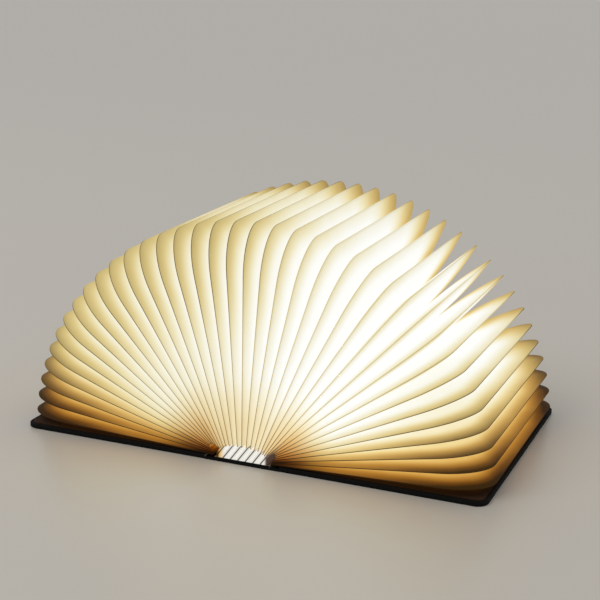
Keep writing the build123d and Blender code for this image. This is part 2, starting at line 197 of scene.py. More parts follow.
class Graph:
    """The node tree of one material or of the world."""

    def __init__(self, tree: bpy.types.NodeTree) -> None:
        """Takes a node tree and empties it."""
        self.tree = tree
        self.tree.nodes.clear()

    def add(self, kind: str, settings: Mapping[str, Any], inputs: Mapping[Any, Any]) -> bpy.types.Node:
        """Adds one node.

        Args:
            kind: The node's type.
            settings: Its settings by name; "stops" are a ramp's, as pairs of place and colour.
            inputs: The values or links of its sockets, by name or number.

        Returns:
            The new node.
        """
        node = self.tree.nodes.new(kind)
        for name, value in settings.items():
            if name == "stops":
                self._set_stops(node.color_ramp, value)
            else:
                setattr(node, name, value)
        for name, value in inputs.items():
            if isinstance(value, Value):
                self.tree.links.new(value.socket, node.inputs[name])
            else:
                node.inputs[name].default_value = value
        return node

    def _set_stops(self, ramp: bpy.types.ColorRamp, stops: Sequence[tuple[float, Colour]]) -> None:
        """Gives a ramp its stops, in order."""
        while len(ramp.elements) < len(stops):
            ramp.elements.new(1.0)
        for element, (place, colour) in zip(ramp.elements, stops):
            element.position = place
            element.color = colour

    def attribute(self, name: str) -> list[Value]:
        """The three parts of a vector that the mesh holds at its vertices."""
        node = self.add("ShaderNodeAttribute", {"attribute_name": name}, {})
        return self.split(Value(self, node.outputs["Vector"]))

    def split(self, vector: Value) -> list[Value]:
        """The three parts of a vector."""
        node = self.add("ShaderNodeSeparateXYZ", {}, {0: vector})
        return [Value(self, output) for output in node.outputs]

    def place(self) -> Value:
        """The point of the surface, in the piece's own frame."""
        node = self.add("ShaderNodeTexCoord", {}, {})
        return Value(self, node.outputs["Object"])

    def stretched(self, vector: Value, scale: Sequence[float]) -> Value:
        """A vector with each part multiplied by its own number."""
        node = self.add("ShaderNodeVectorMath", {"operation": "MULTIPLY"}, {0: vector, 1: tuple(scale)})
        return Value(self, node.outputs[0])

    def joined(self, x: Value | float, y: Value | float, z: Value | float) -> Value:
        """A vector of three parts."""
        node = self.add("ShaderNodeCombineXYZ", {}, {0: x, 1: y, 2: z})
        return Value(self, node.outputs[0])

    def noise(self, vector: Value, grain: float, detail: float = 2.0) -> Value:
        """Cloudy noise from 0 to 1.

        Args:
            vector: Where on the surface.
            grain: The size of its patches, in the vector's unit.
            detail: How many finer layers lie on it.

        Returns:
            The noise.
        """
        node = self.add("ShaderNodeTexNoise", {}, {"Vector": vector, "Scale": 1 / grain, "Detail": detail})
        return Value(self, node.outputs["Fac"])

    def ramp(self, factor: Value, stops: Sequence[tuple[float, Colour]]) -> Value:
        """A colour from a row of stops."""
        node = self.add("ShaderNodeValToRGB", {"stops": stops}, {0: factor})
        return Value(self, node.outputs["Color"])

    def mix(self, factor: Value | float, first: Value | Colour, second: Value | Colour) -> Value:
        """A colour between two others."""
        node = self.add("ShaderNodeMix", {"data_type": "RGBA"}, {0: factor, 6: first, 7: second})
        return Value(self, node.outputs[2])

    def dimmed(self, colour: Value, share: Value | float) -> Value:
        """A colour at a share of its strength."""
        node = self.add("ShaderNodeVectorMath", {"operation": "SCALE"}, {0: colour, "Scale": share})
        return Value(self, node.outputs[0])

    def bump(self, height: Value, depth: float, strength: float) -> Value:
        """A normal from a height of 0 to 1 that stands for depth metres."""
        inputs = {"Height": height, "Distance": depth, "Strength": strength}
        node = self.add("ShaderNodeBump", {}, inputs)
        return Value(self, node.outputs["Normal"])

    def backlit(self, colour: Value, share: float) -> dict[str, Any]:
        """The inputs of a surface whose colour is by this share its own light."""
        return {
            "Base Color": self.dimmed(colour, 1 - share),
            "Emission Color": self.dimmed(colour, share),
            "Emission Strength": 1.0,
        }

    def surface(self, inputs: Mapping[str, Any]) -> None:
        """Ends a material in one principled surface with these inputs."""
        shader = self.add("ShaderNodeBsdfPrincipled", {}, inputs)
        self.add("ShaderNodeOutputMaterial", {}, {"Surface": Value(self, shader.outputs[0])})


# ---------------------------------------------------------------- finishes


@dataclass(frozen=True)
class Finish:
    """A finish of the lamp. Each kind draws its own material from its settings."""

    slot: str

    def make(self) -> bpy.types.Material:
        """Makes the material, named after its slot."""
        material = bpy.data.materials.new(self.slot)
        material.use_nodes = True
        self.draw(Graph(material.node_tree))
        return material

    def draw(self, graph: Graph) -> None:
        """Adds the finish's nodes.

        Args:
            graph: The material's empty node tree.
        """
        raise NotImplementedError


@dataclass(frozen=True)
class PaperPoint:
    """Where a point lies in the paper of the fan, as the marks on the meshes tell it."""

    across: Value  # 0 at the sheet's fold, 1 at its valley
    reach: Value  # 0 at the spine, 1 at the page's outer edge
    place: Value  # of its page, -1 at the left cover and 1 at the right one
    outward: Value  # the place without its sign
    corner: Value  # 1 at the page's near corner, -1 at its far one, 0 away from both


@dataclass(frozen=True)
class PaperLight:
    """How much light comes through the paper. Pairs are smooth steps in a point's numbers, and each loss is
    taken from the full light."""

    full: float = 1.02
    brightest: float = 0.36  # the place that one looks through towards the light
    glare: Step = (0.5, 0.1)  # by the distance from the brightest place
    low_pages: Step = (0.6, 1.0)
    last_pages: Step = (0.82, 1.04)
    gutter_pages: Step = (0.1, 0.9)
    near_corner: Step = (0.0, 1.0)
    far_corner: Step = (0.2, 1.0)
    leg: Step = (0.12, 0.75)
    gutter: Step = (0.42, 0.12)
    by_fold: Step = (0.4, 0.0)
    seam: Step = (0.03, 0.01)
    middle_gutter: float = 0.3  # the share of the gutter's depth that the middle pages have
    near_loss: float = 0.12
    far_loss: float = 0.48
    low_loss: float = 0.06
    last_loss: float = 0.2
    foot_loss: float = 0.4
    fold_loss: float = 0.16
    leg_fold_loss: float = 0.16  # on top of that of the fold, as are the next two
    near_fold_loss: float = 0.3
    low_fold_loss: float = 0.24
    fold_fill: float = 0.55  # the share of the folds' loss that the glare takes back
    seam_loss: float = 0.5
    seam_fill: float = 0.28  # the part of the seam's loss that the glare takes back

    def foot(self, point: PaperPoint) -> Value:
        """How deep in the gutter a point is, from 0 to 1."""
        pages = point.outward.rise(*self.gutter_pages) * (1 - self.middle_gutter) + self.middle_gutter
        return point.reach.rise(*self.gutter) * pages

    def at(self, point: PaperPoint) -> Value:
        """The light at a point.

        Args:
            point: The point.

        Returns:
            The light, from 0 to 1.
        """
        glare = abs(point.place - self.brightest).rise(*self.glare)
        low = point.outward.rise(*self.low_pages)
        last = point.outward.rise(*self.last_pages)
        near = point.corner.rise(*self.near_corner)
        far = (-point.corner).rise(*self.far_corner)
        leg = point.reach.rise(*self.leg)
        light = self.full - near * (1 - glare) * self.near_loss - far * self.far_loss
        light = light - low * self.low_loss - last * self.last_loss - self.foot(point) * self.foot_loss
        depth = self.fold_loss + leg * self.leg_fold_loss
        depth = depth + near * self.near_fold_loss + low * self.low_fold_loss
        light = light - point.across.rise(*self.by_fold) * depth * (1 - glare * self.fold_fill)
        return light - point.across.rise(*self.seam) * (self.seam_loss - glare * leg * self.seam_fill)


@dataclass(frozen=True)
class LitPaper(Finish):
    """Thin cream sheet with the light behind it: white near the light, golden brown away from it."""

    light: PaperLight = PaperLight()
    lit_share: float = 0.75  # how much of the sheet's look is its own light
    fibre: float = 0.9 * MM
    fibre_contrast: float = 0.03
    cloud: float = 14 * MM
    cloud_contrast: float = 0.05
    tone: float = 0.13  # the grain of random differences in the light from page to page
    tone_scale: tuple[float, float] = (3.0, 0.3)  # over the fan and along a page
    tone_contrast: float = 0.08
    foot_contrast: float = 0.6  # how much further the tones differ in the gutter
    golden_pages: Step = (0.68, 1.0)
    golden_corner: Step = (0.3, 1.0)
    corner_gold: float = 0.6
    ember_pages: Step = (0.78, 1.0)
    page_ember: float = 0.55
    roughness: float = 0.75
    roughness_spread: float = 0.15
    specular: float = 0.2
    relief: float = 0.05 * MM
    cream: Ramp = (
        (0.0, paint(112, 96, 54)),
        (0.2, paint(166, 146, 94)),
        (0.4, paint(210, 189, 126)),
        (0.55, paint(226, 207, 146)),
        (0.7, paint(239, 227, 182)),
        (0.82, paint(246, 240, 212)),
        (0.92, paint(251, 249, 236)),
        (1.0, paint(255, 255, 252)),
    )
    gold: Ramp = (
        (0.0, paint(72, 48, 8)),
        (0.2, paint(128, 90, 32)),
        (0.4, paint(178, 138, 58)),
        (0.55, paint(208, 170, 84)),
        (0.7, paint(238, 206, 124)),
        (0.82, paint(251, 230, 162)),
        (0.92, paint(254, 243, 200)),
        (1.0, paint(255, 251, 230)),
    )
    ember: Ramp = (
        (0.0, paint(38, 16, 0)),
        (0.25, paint(112, 54, 6)),
        (0.5, paint(184, 108, 22)),
        (0.7, paint(222, 160, 58)),
        (0.85, paint(246, 212, 122)),
        (1.0, paint(255, 246, 208)),
    )

    def draw(self, graph: Graph) -> None:
        """Shades the sheet by how far a point lies from its fold, its foot and the middle of the fan."""
        across, reach, place = graph.attribute("leaf")
        along, over, corner = graph.attribute("sheet")
        point = PaperPoint(across, reach, place, abs(place), corner)
        foot = self.light.foot(point)
        on_sheet = graph.joined(along, over, place)
        fibres = graph.noise(on_sheet, self.fibre, detail=4.0)
        clouds = graph.noise(on_sheet, self.cloud)
        over_fan, along_page = self.tone_scale
        tones = graph.noise(graph.joined(place * over_fan, reach * along_page, 0.0), self.tone)
        light = self.light.at(point)
        light = light + (clouds - 0.5) * self.cloud_contrast + (fibres - 0.5) * self.fibre_contrast
        light = light + (tones - 0.5) * (self.tone_contrast + foot * self.foot_contrast)
        # Painted light: golden tones on the outer pages and at the far corners, ember tones in the gutter
        # and on the last pages, where less light comes through.
        far = (-corner).rise(*self.golden_corner) * self.corner_gold
        golden = point.outward.rise(*self.golden_pages).at_least(far)
        warm = foot.at_least(point.outward.rise(*self.ember_pages) * self.page_ember)
        colour = graph.mix(golden, graph.ramp(light, self.cream), graph.ramp(light, self.gold))
        colour = graph.mix(warm, colour, graph.ramp(light, self.ember))
        graph.surface(
            graph.backlit(colour, self.lit_share)
            | {
                "Roughness": self.roughness + fibres * self.roughness_spread,
                "Specular IOR Level": self.specular,
                "Normal": graph.bump(fibres, self.relief, strength=0.5),
            }
        )


@dataclass(frozen=True)
class SheetEdges(Finish):
    """The glued feet of the sheets: bright white edges in painted light from behind, and dark gaps between
    bundles that lean right, in painted shade.
    """

    bundle: float = 6.0 * MM
    sheet: float = 1.5 * MM
    lean: float = math.radians(36)  # of the block's own slots
    first_gap: float = 5.4 * MM  # left of the middle, where a wide slot's line meets the ground
    waver: float = 0.3 * MM
    waver_grain: float = 6 * MM
    gap_width: Step = (0.5, 0.15)  # by the sine of the way through a bundle
    gap_depth: float = 0.9
    line_width: Step = (0.6, 0.15)  # by the sine of the way through a sheet
    line_depth: float = 0.4
    speck: float = 0.7 * MM
    speck_step: Step = (0.64, 0.74)
    warm_end: Step = (13 * MM, 19 * MM)  # to the left of the middle
    gutter: Step = (17.5 * MM, 19.9 * MM)  # to both sides of the middle
    gutter_depth: float = 0.95
    white: Colour = paint(255, 253, 244)
    warm: Colour = paint(240, 190, 96)
    line_shade: Colour = paint(140, 128, 124)
    gap_shade: Colour = paint(52, 42, 34)
    gutter_shade: Colour = paint(58, 30, 6)
    lit_share: float = 0.75
    roughness: float = 0.7
    roughness_spread: float = 0.2
    specular: float = 0.08
    relief: float = 0.1 * MM

    def draw(self, graph: Graph) -> None:
        """Lines up the sheets' edges across the block."""
        x, _, z = graph.split(graph.place())
        wander = (graph.noise(graph.place(), self.waver_grain) - 0.5) * self.waver
        leaning = x - z * math.tan(self.lean) + self.first_gap + wander
        lines = abs((leaning * (math.pi / self.sheet)).sine())
        gap = abs((leaning * (math.pi / self.bundle)).sine()).rise(*self.gap_width)
        specks = graph.noise(graph.place(), self.speck, detail=3.0).rise(*self.speck_step)
        # Painted shade in the thin grooves between the sheets, plus dark specks on the paper.
        groove_shade_and_specks = (lines.rise(*self.line_width) + specks) * self.line_depth
        colour = graph.mix((-x).rise(*self.warm_end), self.white, self.warm)
        colour = graph.mix(groove_shade_and_specks, colour, self.line_shade)
        colour = graph.mix(gap * self.gap_depth, colour, self.gap_shade)
        colour = graph.mix(abs(x).rise(*self.gutter) * self.gutter_depth, colour, self.gutter_shade)
        graph.surface(
            graph.backlit(colour, self.lit_share)
            | {
                "Roughness": self.roughness + specks * self.roughness_spread,
                "Specular IOR Level": self.specular,
                "Normal": graph.bump(lines - gap, self.relief, strength=0.6),
            }
        )


@dataclass(frozen=True)
class BookCloth(Finish):
    """Fine plain-woven black cloth with slubs and dust in its weave."""

    colour: Colour = paint(5, 5, 5)
    worn: Colour = paint(16, 15, 14)
    thread: float = 0.42 * MM
    weave_share: float = 0.35
    slub: float = 3 * MM
    slub_scale: Scale = (1.0, 6.0, 1.0)
    slub_step: Step = (0.45, 0.7)
    slub_share: float = 0.25
    dust: float = 22 * MM
    dust_step: Step = (0.5, 0.75)
    dust_share: float = 0.2
    roughness: float = 0.7
    roughness_spread: float = 0.2
    specular: float = 0.14
    relief: float = 0.09 * MM

    def draw(self, graph: Graph) -> None:
        """Weaves the cloth out of two sets of threads."""
        x, y, z = graph.split(graph.place())
        turn = 2 * math.pi / self.thread
        weft = (x * turn).sine()
        warp = ((y + z) * turn).sine()
        weave = weft * warp * 0.5 + 0.5
        slubs = graph.noise(graph.stretched(graph.place(), self.slub_scale), self.slub, detail=3.0)
        dust = graph.noise(graph.place(), self.dust, detail=4.0)
        shade = weave * self.weave_share + slubs.rise(*self.slub_step) * self.slub_share
        shade = shade + dust.rise(*self.dust_step) * self.dust_share
        graph.surface(
            {
                "Base Color": graph.mix(shade, self.colour, self.worn),
                "Roughness": self.roughness + slubs * self.roughness_spread,
                "Specular IOR Level": self.specular,
                "Normal": graph.bump(weave + slubs * 0.5, self.relief, strength=0.7),
            }
        )


@dataclass(frozen=True)
class FibrePaper(Finish):
    """Matt paper or board with fibres and faint clouds."""

    colour: Colour
    fibre_colour: Colour
    grain: float = 0.8 * MM
    fibre_scale: Scale = (1.0, 0.3, 1.0)
    fibre_step: Step = (0.4, 0.75)
    fibre_share: float = 0.6
    cloud: float = 18 * MM
    cloud_step: Step = (0.4, 0.7)
    cloud_share: float = 0.3
    roughness: float = 0.8
    roughness_spread: float = 0.15
    specular: float = 0.2
    relief: float = 0.04 * MM

    def draw(self, graph: Graph) -> None:
        """Lays fibres along the sheet."""
        fibres = graph.noise(graph.stretched(graph.place(), self.fibre_scale), self.grain, detail=5.0)
        clouds = graph.noise(graph.place(), self.cloud)
        shade = fibres.rise(*self.fibre_step) * self.fibre_share
        shade = shade + clouds.rise(*self.cloud_step) * self.cloud_share
        graph.surface(
            {
                "Base Color": graph.mix(shade, self.colour, self.fibre_colour),
                "Roughness": self.roughness + fibres * self.roughness_spread,
                "Specular IOR Level": self.specular,
                "Normal": graph.bump(fibres, self.relief, strength=0.6),
            }
        )


@dataclass(frozen=True)
class DrawnMetal(Finish):
    """Metal with fine lines along the direction that it was drawn or rolled in."""

    colour: Colour = paint(205, 207, 210)
    dull: Colour = paint(120, 122, 126)
    dull_share: float = 0.3
    line_scale: Scale = (1.0, 0.03, 1.0)
    grain: float = 0.25 * MM
    patch: float = 9 * MM
    roughness: float = 0.3
    line_roughness: float = 0.18
    patch_roughness: float = 0.1
    relief: float = 0.02 * MM

    def draw(self, graph: Graph) -> None:
        """Draws the lines and a few duller patches."""
        lines = graph.noise(graph.stretched(graph.place(), self.line_scale), self.grain, detail=3.0)
        patches = graph.noise(graph.place(), self.patch)
        roughness = self.roughness + lines * self.line_roughness + patches * self.patch_roughness
        graph.surface(
            {
                "Base Color": graph.mix(lines * self.dull_share, self.colour, self.dull),
                "Metallic": 1.0,
                "Roughness": roughness,
                "Normal": graph.bump(lines, self.relief, strength=0.5),
            }
        )


@dataclass(frozen=True)
class Moulding(Finish):
    """Moulded plastic or resin with a fine orange-peel skin, some of it lit from inside."""

    colour: Colour
    deep: Colour
    glow: float = 0.0
    skin: float = 0.6 * MM
    cloud: float = 7 * MM
    roughness: float = 0.4
    roughness_spread: float = 0.15
    coat: float = 0.15
    relief: float = 0.03 * MM

    def draw(self, graph: Graph) -> None:
        """Mixes two tones by soft clouds under a fine grain."""
        grain = graph.noise(graph.place(), self.skin, detail=3.0)
        colour = graph.mix(graph.noise(graph.place(), self.cloud), self.colour, self.deep)
        graph.surface(
            {
                "Base Color": colour,
                "Emission Color": colour,
                "Emission Strength": self.glow,
                "Roughness": self.roughness + grain * self.roughness_spread,
                "Coat Weight": self.coat,
                "Normal": graph.bump(grain, self.relief, strength=0.5),
            }
        )


@dataclass(frozen=True)
class PrintedBoard(Finish):
    """Solder mask over copper lines."""

    mask: Colour = paint(30, 110, 62)
    track: Colour = paint(60, 150, 92)
    track_share: float = 0.7
    pitch: float = 2.2 * MM  # of the tracks along the board; those across it are twice as far apart
    row_step: Step = (0.75, 0.9)
    column_step: Step = (0.85, 0.95)
    grain: float = 0.4 * MM
    roughness: float = 0.3
    roughness_spread: float = 0.2
    coat: float = 0.3
    relief: float = 0.03 * MM

    def draw(self, graph: Graph) -> None:
        """Runs tracks along and across the board."""
        x, y, _ = graph.split(graph.place())
        turn = 2 * math.pi / self.pitch
        rows = (x * turn).sine().rise(*self.row_step)
        columns = (y * (turn / 2)).sine().rise(*self.column_step)
        tracks = rows.at_least(columns)
        grain = graph.noise(graph.place(), self.grain)
        graph.surface(
            {
                "Base Color": graph.mix(tracks * self.track_share, self.mask, self.track),
                "Roughness": self.roughness + grain * self.roughness_spread,
                "Coat Weight": self.coat,
                "Normal": graph.bump(tracks, self.relief, strength=0.5),
            }
        )


UPRIGHT_LINES: Scale = (1.0, 1.0, 0.05)
LONG_LINES: Scale = (1.0, 0.05, 1.0)
NO_LINES: Scale = (1.0, 1.0, 1.0)

FINISHES: tuple[Finish, ...] = (
    LitPaper("page_paper"),
    SheetEdges("root_paper"),
    BookCloth("cloth"),
    FibrePaper("grey_board", paint(128, 122, 114), paint(150, 144, 136), grain=1.2 * MM),
    # The lining's warm brown is painted light: the pages' glow on dark lining paper; its fibres and clouds
    # are its own.
    FibrePaper("lining_paper", paint(44, 26, 10), paint(70, 44, 18)),
    DrawnMetal("magnet", paint(200, 200, 204), line_scale=UPRIGHT_LINES, roughness=0.2),
    DrawnMetal("channel_metal"),
    DrawnMetal("screw_steel", paint(190, 190, 192), line_scale=UPRIGHT_LINES, roughness=0.25),
    PrintedBoard("lamp_board_metal", paint(236, 236, 230), paint(214, 214, 206)),
    Moulding("lamp_package", paint(250, 226, 120), paint(255, 240, 170), glow=1.0, roughness=0.3),
    Moulding("frosted_cap", paint(255, 250, 236), paint(250, 242, 220), glow=0.8, roughness=0.55),
    DrawnMetal("cell_pouch", paint(196, 198, 202), line_scale=NO_LINES, grain=2 * MM, roughness=0.35),
    PrintedBoard("control_board_green"),
    DrawnMetal("socket_steel", paint(198, 199, 203), line_scale=LONG_LINES, roughness=0.28),
    Moulding("light_pipe", paint(235, 240, 245), paint(215, 225, 235), roughness=0.25),
)


# ---------------------------------------------------------------- meshes


@dataclass
class Shell:
    """A mesh in the making: rows of points that are skinned into closed strips."""

    points: list[Vector] = field(default_factory=list)
    faces: list[tuple[int, ...]] = field(default_factory=list)
    marks: dict[str, list[tuple[float, float, float]]] = field(default_factory=dict)

    def tube(
        self, rings: Sequence[Sequence[Vector]], marks: Mapping[str, Sequence[Sequence[Any]]]
    ) -> None:
        """Adds closed rings, joined one to the next, with a cap at each end.

        Args:
            rings: The rings in order, with as many points each.
            marks: For each attribute, its vector at each point of each ring.
        """
        first = len(self.points)
        size = len(rings[0])
        for ring in rings:
            self.points.extend(ring)
        for name, rows in marks.items():
            self.marks.setdefault(name, []).extend(mark for row in rows for mark in row)
        for row in range(len(rings) - 1):
            here = first + row * size
            for i in range(size):
                j = (i + 1) % size
                self.faces.append((here + i, here + j, here + size + j, here + size + i))
        self.faces.append(tuple(first + i for i in reversed(range(size))))
        last = first + (len(rings) - 1) * size
        self.faces.append(tuple(last + i for i in range(size)))

    def piece(self, name: str, material: bpy.types.Material) -> bpy.types.Object:
        """Turns the shell into an object with smooth faces.

        Args:
            name: The object's name.
            material: Its finish.

        Returns:
            The new object, in the scene.
        """
        mesh = bpy.data.meshes.new(name)
        mesh.from_pydata([tuple(p) for p in self.points], [], self.faces)
        for label, vectors in self.marks.items():
            attribute = mesh.attributes.new(label, "FLOAT_VECTOR", "POINT")
            attribute.data.foreach_set("vector", np.array(vectors, np.float32).ravel())
        mesh.materials.append(material)
        obj = bpy.data.objects.new(name, mesh)
        bpy.context.scene.collection.objects.link(obj)
        bpy.context.view_layer.objects.active = obj
        obj.select_set(True)
        bpy.ops.object.mode_set(mode="EDIT")
        bpy.ops.mesh.select_all(action="SELECT")
        bpy.ops.mesh.normals_make_consistent(inside=False)
        bpy.ops.object.mode_set(mode="OBJECT")
        mesh.shade_smooth()
        obj.select_set(False)
        return obj


def lerp(first: float, last: float, share: float) -> float:
    """The number that lies a share of the way from first to last."""
    return first + (last - first) * share


def blend_place(weight: float) -> float:
    """Where along a blend, from 0 to 1, a point follows the second body by this weight."""
    low, high = 0.0, 1.0
    for _ in range(BISECTIONS):
        middle = (low + high) / 2
        if middle * middle * (3 - 2 * middle) < weight:
            low = middle
        else:
            high = middle
    return (low + high) / 2


# ---------------------------------------------------------------- pages


@dataclass(frozen=True)
class Plane:
    """A plane of the fan that holds a fold or a valley. It leans to one side and passes the fan's middle
    line at a distance, and the point of it that is nearest to that line is its root."""

    middle: Vector
    lean: float  # from upright, to the right
    shift: float  # of the root from the middle line, to the right

    @classmethod
    def through(cls, middle: Vector, pivot: Vector, lean: float) -> Plane:
        """The plane of this lean through a page's pivot.

        Args:
            middle: The fan's middle line, as its point over the origin.
            pivot: A point that the plane holds.
            lean: Its lean from upright, to the right.

        Returns:
            The plane.
        """
        central = cls(middle, lean, 0.0)
        return cls(middle, lean, (pivot - middle).dot(central.normal))

    @property
    def normal(self) -> Vector:
        """The plane's direction to the right."""
        return Vector((math.cos(self.lean), 0, -math.sin(self.lean)))

    @property
    def outward(self) -> Vector:
        """The direction in which its reach is counted."""
        return Vector((math.sin(self.lean), 0, math.cos(self.lean)))

    @property
    def root(self) -> Vector:
        """Its point nearest to the middle line."""
        return self.middle + self.normal * self.shift

    def point(self, reach: float, y: float) -> Vector:
        """The point of the plane at a distance from its root, and along the spine."""
        return self.root + self.outward * reach + Vector((0, y, 0))

    def room(self, other: Plane, reach: float) -> float:
        """How far to the right the other plane is at this reach."""
        turn = other.lean - self.lean
        return reach * math.tan(turn) + other.shift / math.cos(turn) - self.shift


@dataclass(frozen=True)
class Station:
    """One cross-section of a page: where its fold and its valleys are, in their own planes."""

    ridge: PlanePoint
    valley: PlanePoint
    corner: float  # 1 at the near corner, -1 at the far one, 0 away from both
    leg: float  # 0 at the foot, 1 at the outer edge


@dataclass
class PageFan:
    """The pleated pages between the covers."""

    frame: Mapping[str, Any]
    sheet_width: float = 45 * MM
    sheet_thickness: float = 0.3 * MM
    seam_width: float = 2.5 * MM
    ridge_bend: PlanePoint = (36 * MM, 24 * MM)
    valley_bend: PlanePoint = (26 * MM, 20 * MM)
    shoulder: float = 2.1  # power of both bends: 2 is a quarter ellipse, more is squarer
    stretch: tuple[float, float] = (-1.2 * MM, 2.2 * MM)  # paper's longer reach, upright and lying
    bulge: float = 1.6 * MM  # of a sheet between its fold and its valley
    bulge_span: float = 70 * MM  # over which it grows from the foot
    blend_radius: float = 130 * MM  # reach at which the valleys turn exactly as they should
    corner_reach: float = 95 * MM  # how far from a page's corner its shading goes
    sheet_shares: tuple[float, ...] = (0.06, 0.14, 0.26, 0.4, 0.55, 0.7, 0.85, 1.0)  # past the seam
    leg_steps: int = 12
    corner_steps: int = 12
    edge_steps: int = 8

    def __post_init__(self) -> None:
        """Reads the pages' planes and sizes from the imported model."""
        behaviour = self.frame["record"]["behaviour"]
        joints = {joint["name"]: joint for joint in self.frame["joints"]}
        turns = [c for c in behaviour["couplings"] if c["joint"].startswith("page_")]
        self.half_count = len(turns) // 2
        self.half_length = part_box(self.node(0))[1].y
        middle = Vector((0, 0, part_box("right_cover_lining")[1].z))
        self.planes = {0.0: Plane(middle, 0.0, 0.0)}
        for coupling in turns:
            joint = joints[coupling["joint"]]
            place = int(coupling["joint"].split("_")[1]) - self.half_count - 1
            lean = math.copysign(coupling["ratio"] * RIGHT_ANGLE, place)
            self.planes[float(place)] = Plane.through(middle, Vector(joint["pos_m"]), lean)
        for place in range(-self.half_count, self.half_count):
            first, second = self.planes[place], self.planes[place + 1]
            lean, shift = (first.lean + second.lean) / 2, (first.shift + second.shift) / 2
            self.planes[place + 0.5] = Plane(middle, lean, shift)
        for side in Side:
            cover = side.value * (self.half_count + 0.5)
            self.planes[cover] = Plane(middle, side.value * RIGHT_ANGLE, 0.0)
        self.spans = {place: self.span(place) for place in self.places()}

    def places(self) -> range:
        """The pages' places in the fan, from left to right, with 0 in the middle."""
        return range(-self.half_count, self.half_count + 1)

    def span(self, place: int) -> tuple[float, float]:
        """Where in its plane a page starts, as packed, and where its paper ends."""
        obj = self.frame["nodes"][self.node(place)]
        plane = self.planes[float(place)]
        points = [obj.matrix_world @ vertex.co for vertex in obj.data.vertices]
        reaches = [(point - plane.root).dot(plane.outward) for point in points]
        longer = lerp(*self.stretch, math.sin(plane.lean) ** 2)
        return min(reaches), max(reaches) + longer

    def node(self, place: int) -> str:
        """The name of the page's node."""
        return f"page_{place + self.half_count + 1:02d}"

    def stations(self, place: int) -> list[Station]:
        """The cross-sections of a page, from the near foot round the outer edge to the far foot.

        Args:
            place: The page's place in the fan.

        Returns:
            The stations in order.
        """
        quarter = self.quarter(*self.spans[place])
        mirrored = [
            Station((s.ridge[0], -s.ridge[1]), (s.valley[0], -s.valley[1]), -s.corner, s.leg)
            for s in reversed(quarter)
        ]
        edge = []
        before, after = quarter[-1], mirrored[0]
        for step in range(1, self.edge_steps):
            share = step / self.edge_steps
            ridge = (before.ridge[0], lerp(before.ridge[1], after.ridge[1], share))
            valley = (before.valley[0], lerp(before.valley[1], after.valley[1], share))
            edge.append(Station(ridge, valley, self.corner_nearness(ridge, before.ridge[0]), 1.0))
        return quarter + edge + mirrored

    def corner_nearness(self, ridge: PlanePoint, end: float) -> float:
        """1 at the page's near corner and -1 at its far one, falling to 0 away from them."""
        corner = Vector((end, self.half_length))
        away = (Vector((ridge[0], abs(ridge[1]))) - corner).length
        return math.copysign(max(0.0, 1 - away / self.corner_reach), -ridge[1])

    def quarter(self, start: float, end: float) -> list[Station]:
        """The stations of the near leg and the near corner.

        Args:
            start: Where in its plane the page starts.
            end: Where it ends.

        Returns:
            The stations in order.
        """
        ridge_turn = end - self.ridge_bend[0]
        valley_turn = end - self.sheet_width - self.valley_bend[0]
        valley_y = self.half_length - self.sheet_width
        found = []
        for step in range(self.leg_steps):
            share = step / self.leg_steps
            ridge = (lerp(start, ridge_turn, share), -self.half_length)
            valley = (lerp(start, valley_turn, share), -valley_y)
            found.append((ridge, valley))
        for step in range(self.corner_steps + 1):
            angle = RIGHT_ANGLE * step / self.corner_steps
            up = math.sin(angle) ** (2 / self.shoulder)
            inward = 1 - max(0.0, math.cos(angle)) ** (2 / self.shoulder)
            ridge = (ridge_turn + self.ridge_bend[0] * up, -self.half_length + self.ridge_bend[1] * inward)
            valley = (valley_turn + self.valley_bend[0] * up, -valley_y + self.valley_bend[1] * inward)
            found.append((ridge, valley))
        stations = []
        for ridge, valley in found:
            leg = (ridge[0] - start) / (end - start)
            stations.append(Station(ridge, valley, self.corner_nearness(ridge, end), leg))
        return stations

    def sheet_ring(self, place: int, side: int, station: Station) -> list[tuple[Vector, tuple, tuple]]:
        """One cross-section of a sheet: its outer face from fold to valley, and its inner face back.

        Args:
            place: The page's place in the fan.
            side: 1 for the sheet on the page's right, -1 for the one on its left.
            station: Where along the page.

        Returns:
            Each point with its two marks for the paper's shading.
        """
        plane = self.planes[float(place)]
        out = plane.normal * side
        thickness = out * self.sheet_thickness
        fold = plane.point(*station.ridge)
        valley = self.planes[place + side / 2].point(*station.valley)
        start, end = self.spans[place]
        swell = out * self.bulge * min(1.0, station.leg * (end - start) / self.bulge_span)
        outer = []
        for share in self.across_steps():
            if share < self.seam_share:
                # The face lies double here: over half of the seam and back to the fold.
                point = fold + thickness + (valley - fold) * share
            else:
                run = min(1.0, (share - self.seam_share) / (1 - self.seam_share))
                point = (fold + thickness).lerp(valley, run) + swell * math.sin(math.pi * run)
            outer.append((share, point))
        ring = [self.marked(share, point, place, station) for share, point in outer]
        for share, point in reversed(outer):
            ring.append(self.marked(share, point - thickness, place, station))
        return ring

    @property
    def seam_share(self) -> float:
        """The glued seam as a share of the sheet's width."""
        return self.seam_width / self.sheet_width

    def across_steps(self) -> list[float]:
        """Where across the sheet its points lie, from 0 at the fold to 1 at the valley."""
        seam = self.seam_share
        return [0.0, seam / 2, seam] + [lerp(seam, 1.0, share) for share in self.sheet_shares]

    def marked(self, share: float, point: Vector, place: int, station: Station) -> tuple:
        """A point with the marks that the paper's shading reads."""
        reach = lerp(station.ridge[0], station.valley[0], share) / self.spans[place][1]
        leaf = (share, reach, place / self.half_count)
        along = station.ridge[0] + station.ridge[1]
        sheet = (along, share * self.sheet_width, station.corner)
        return point, leaf, sheet

    def add_sheet(self, shell: Shell, place: int, side: int) -> None:
        """Adds one of a page's two sheets to a shell."""
        rings = [self.sheet_ring(place, side, station) for station in self.stations(place)]
        shell.tube(
            [[p for p, _, _ in ring] for ring in rings],
            {
                "leaf": [[leaf for _, leaf, _ in ring] for ring in rings],
                "sheet": [[sheet for _, _, sheet in ring] for ring in rings],
            },
        )

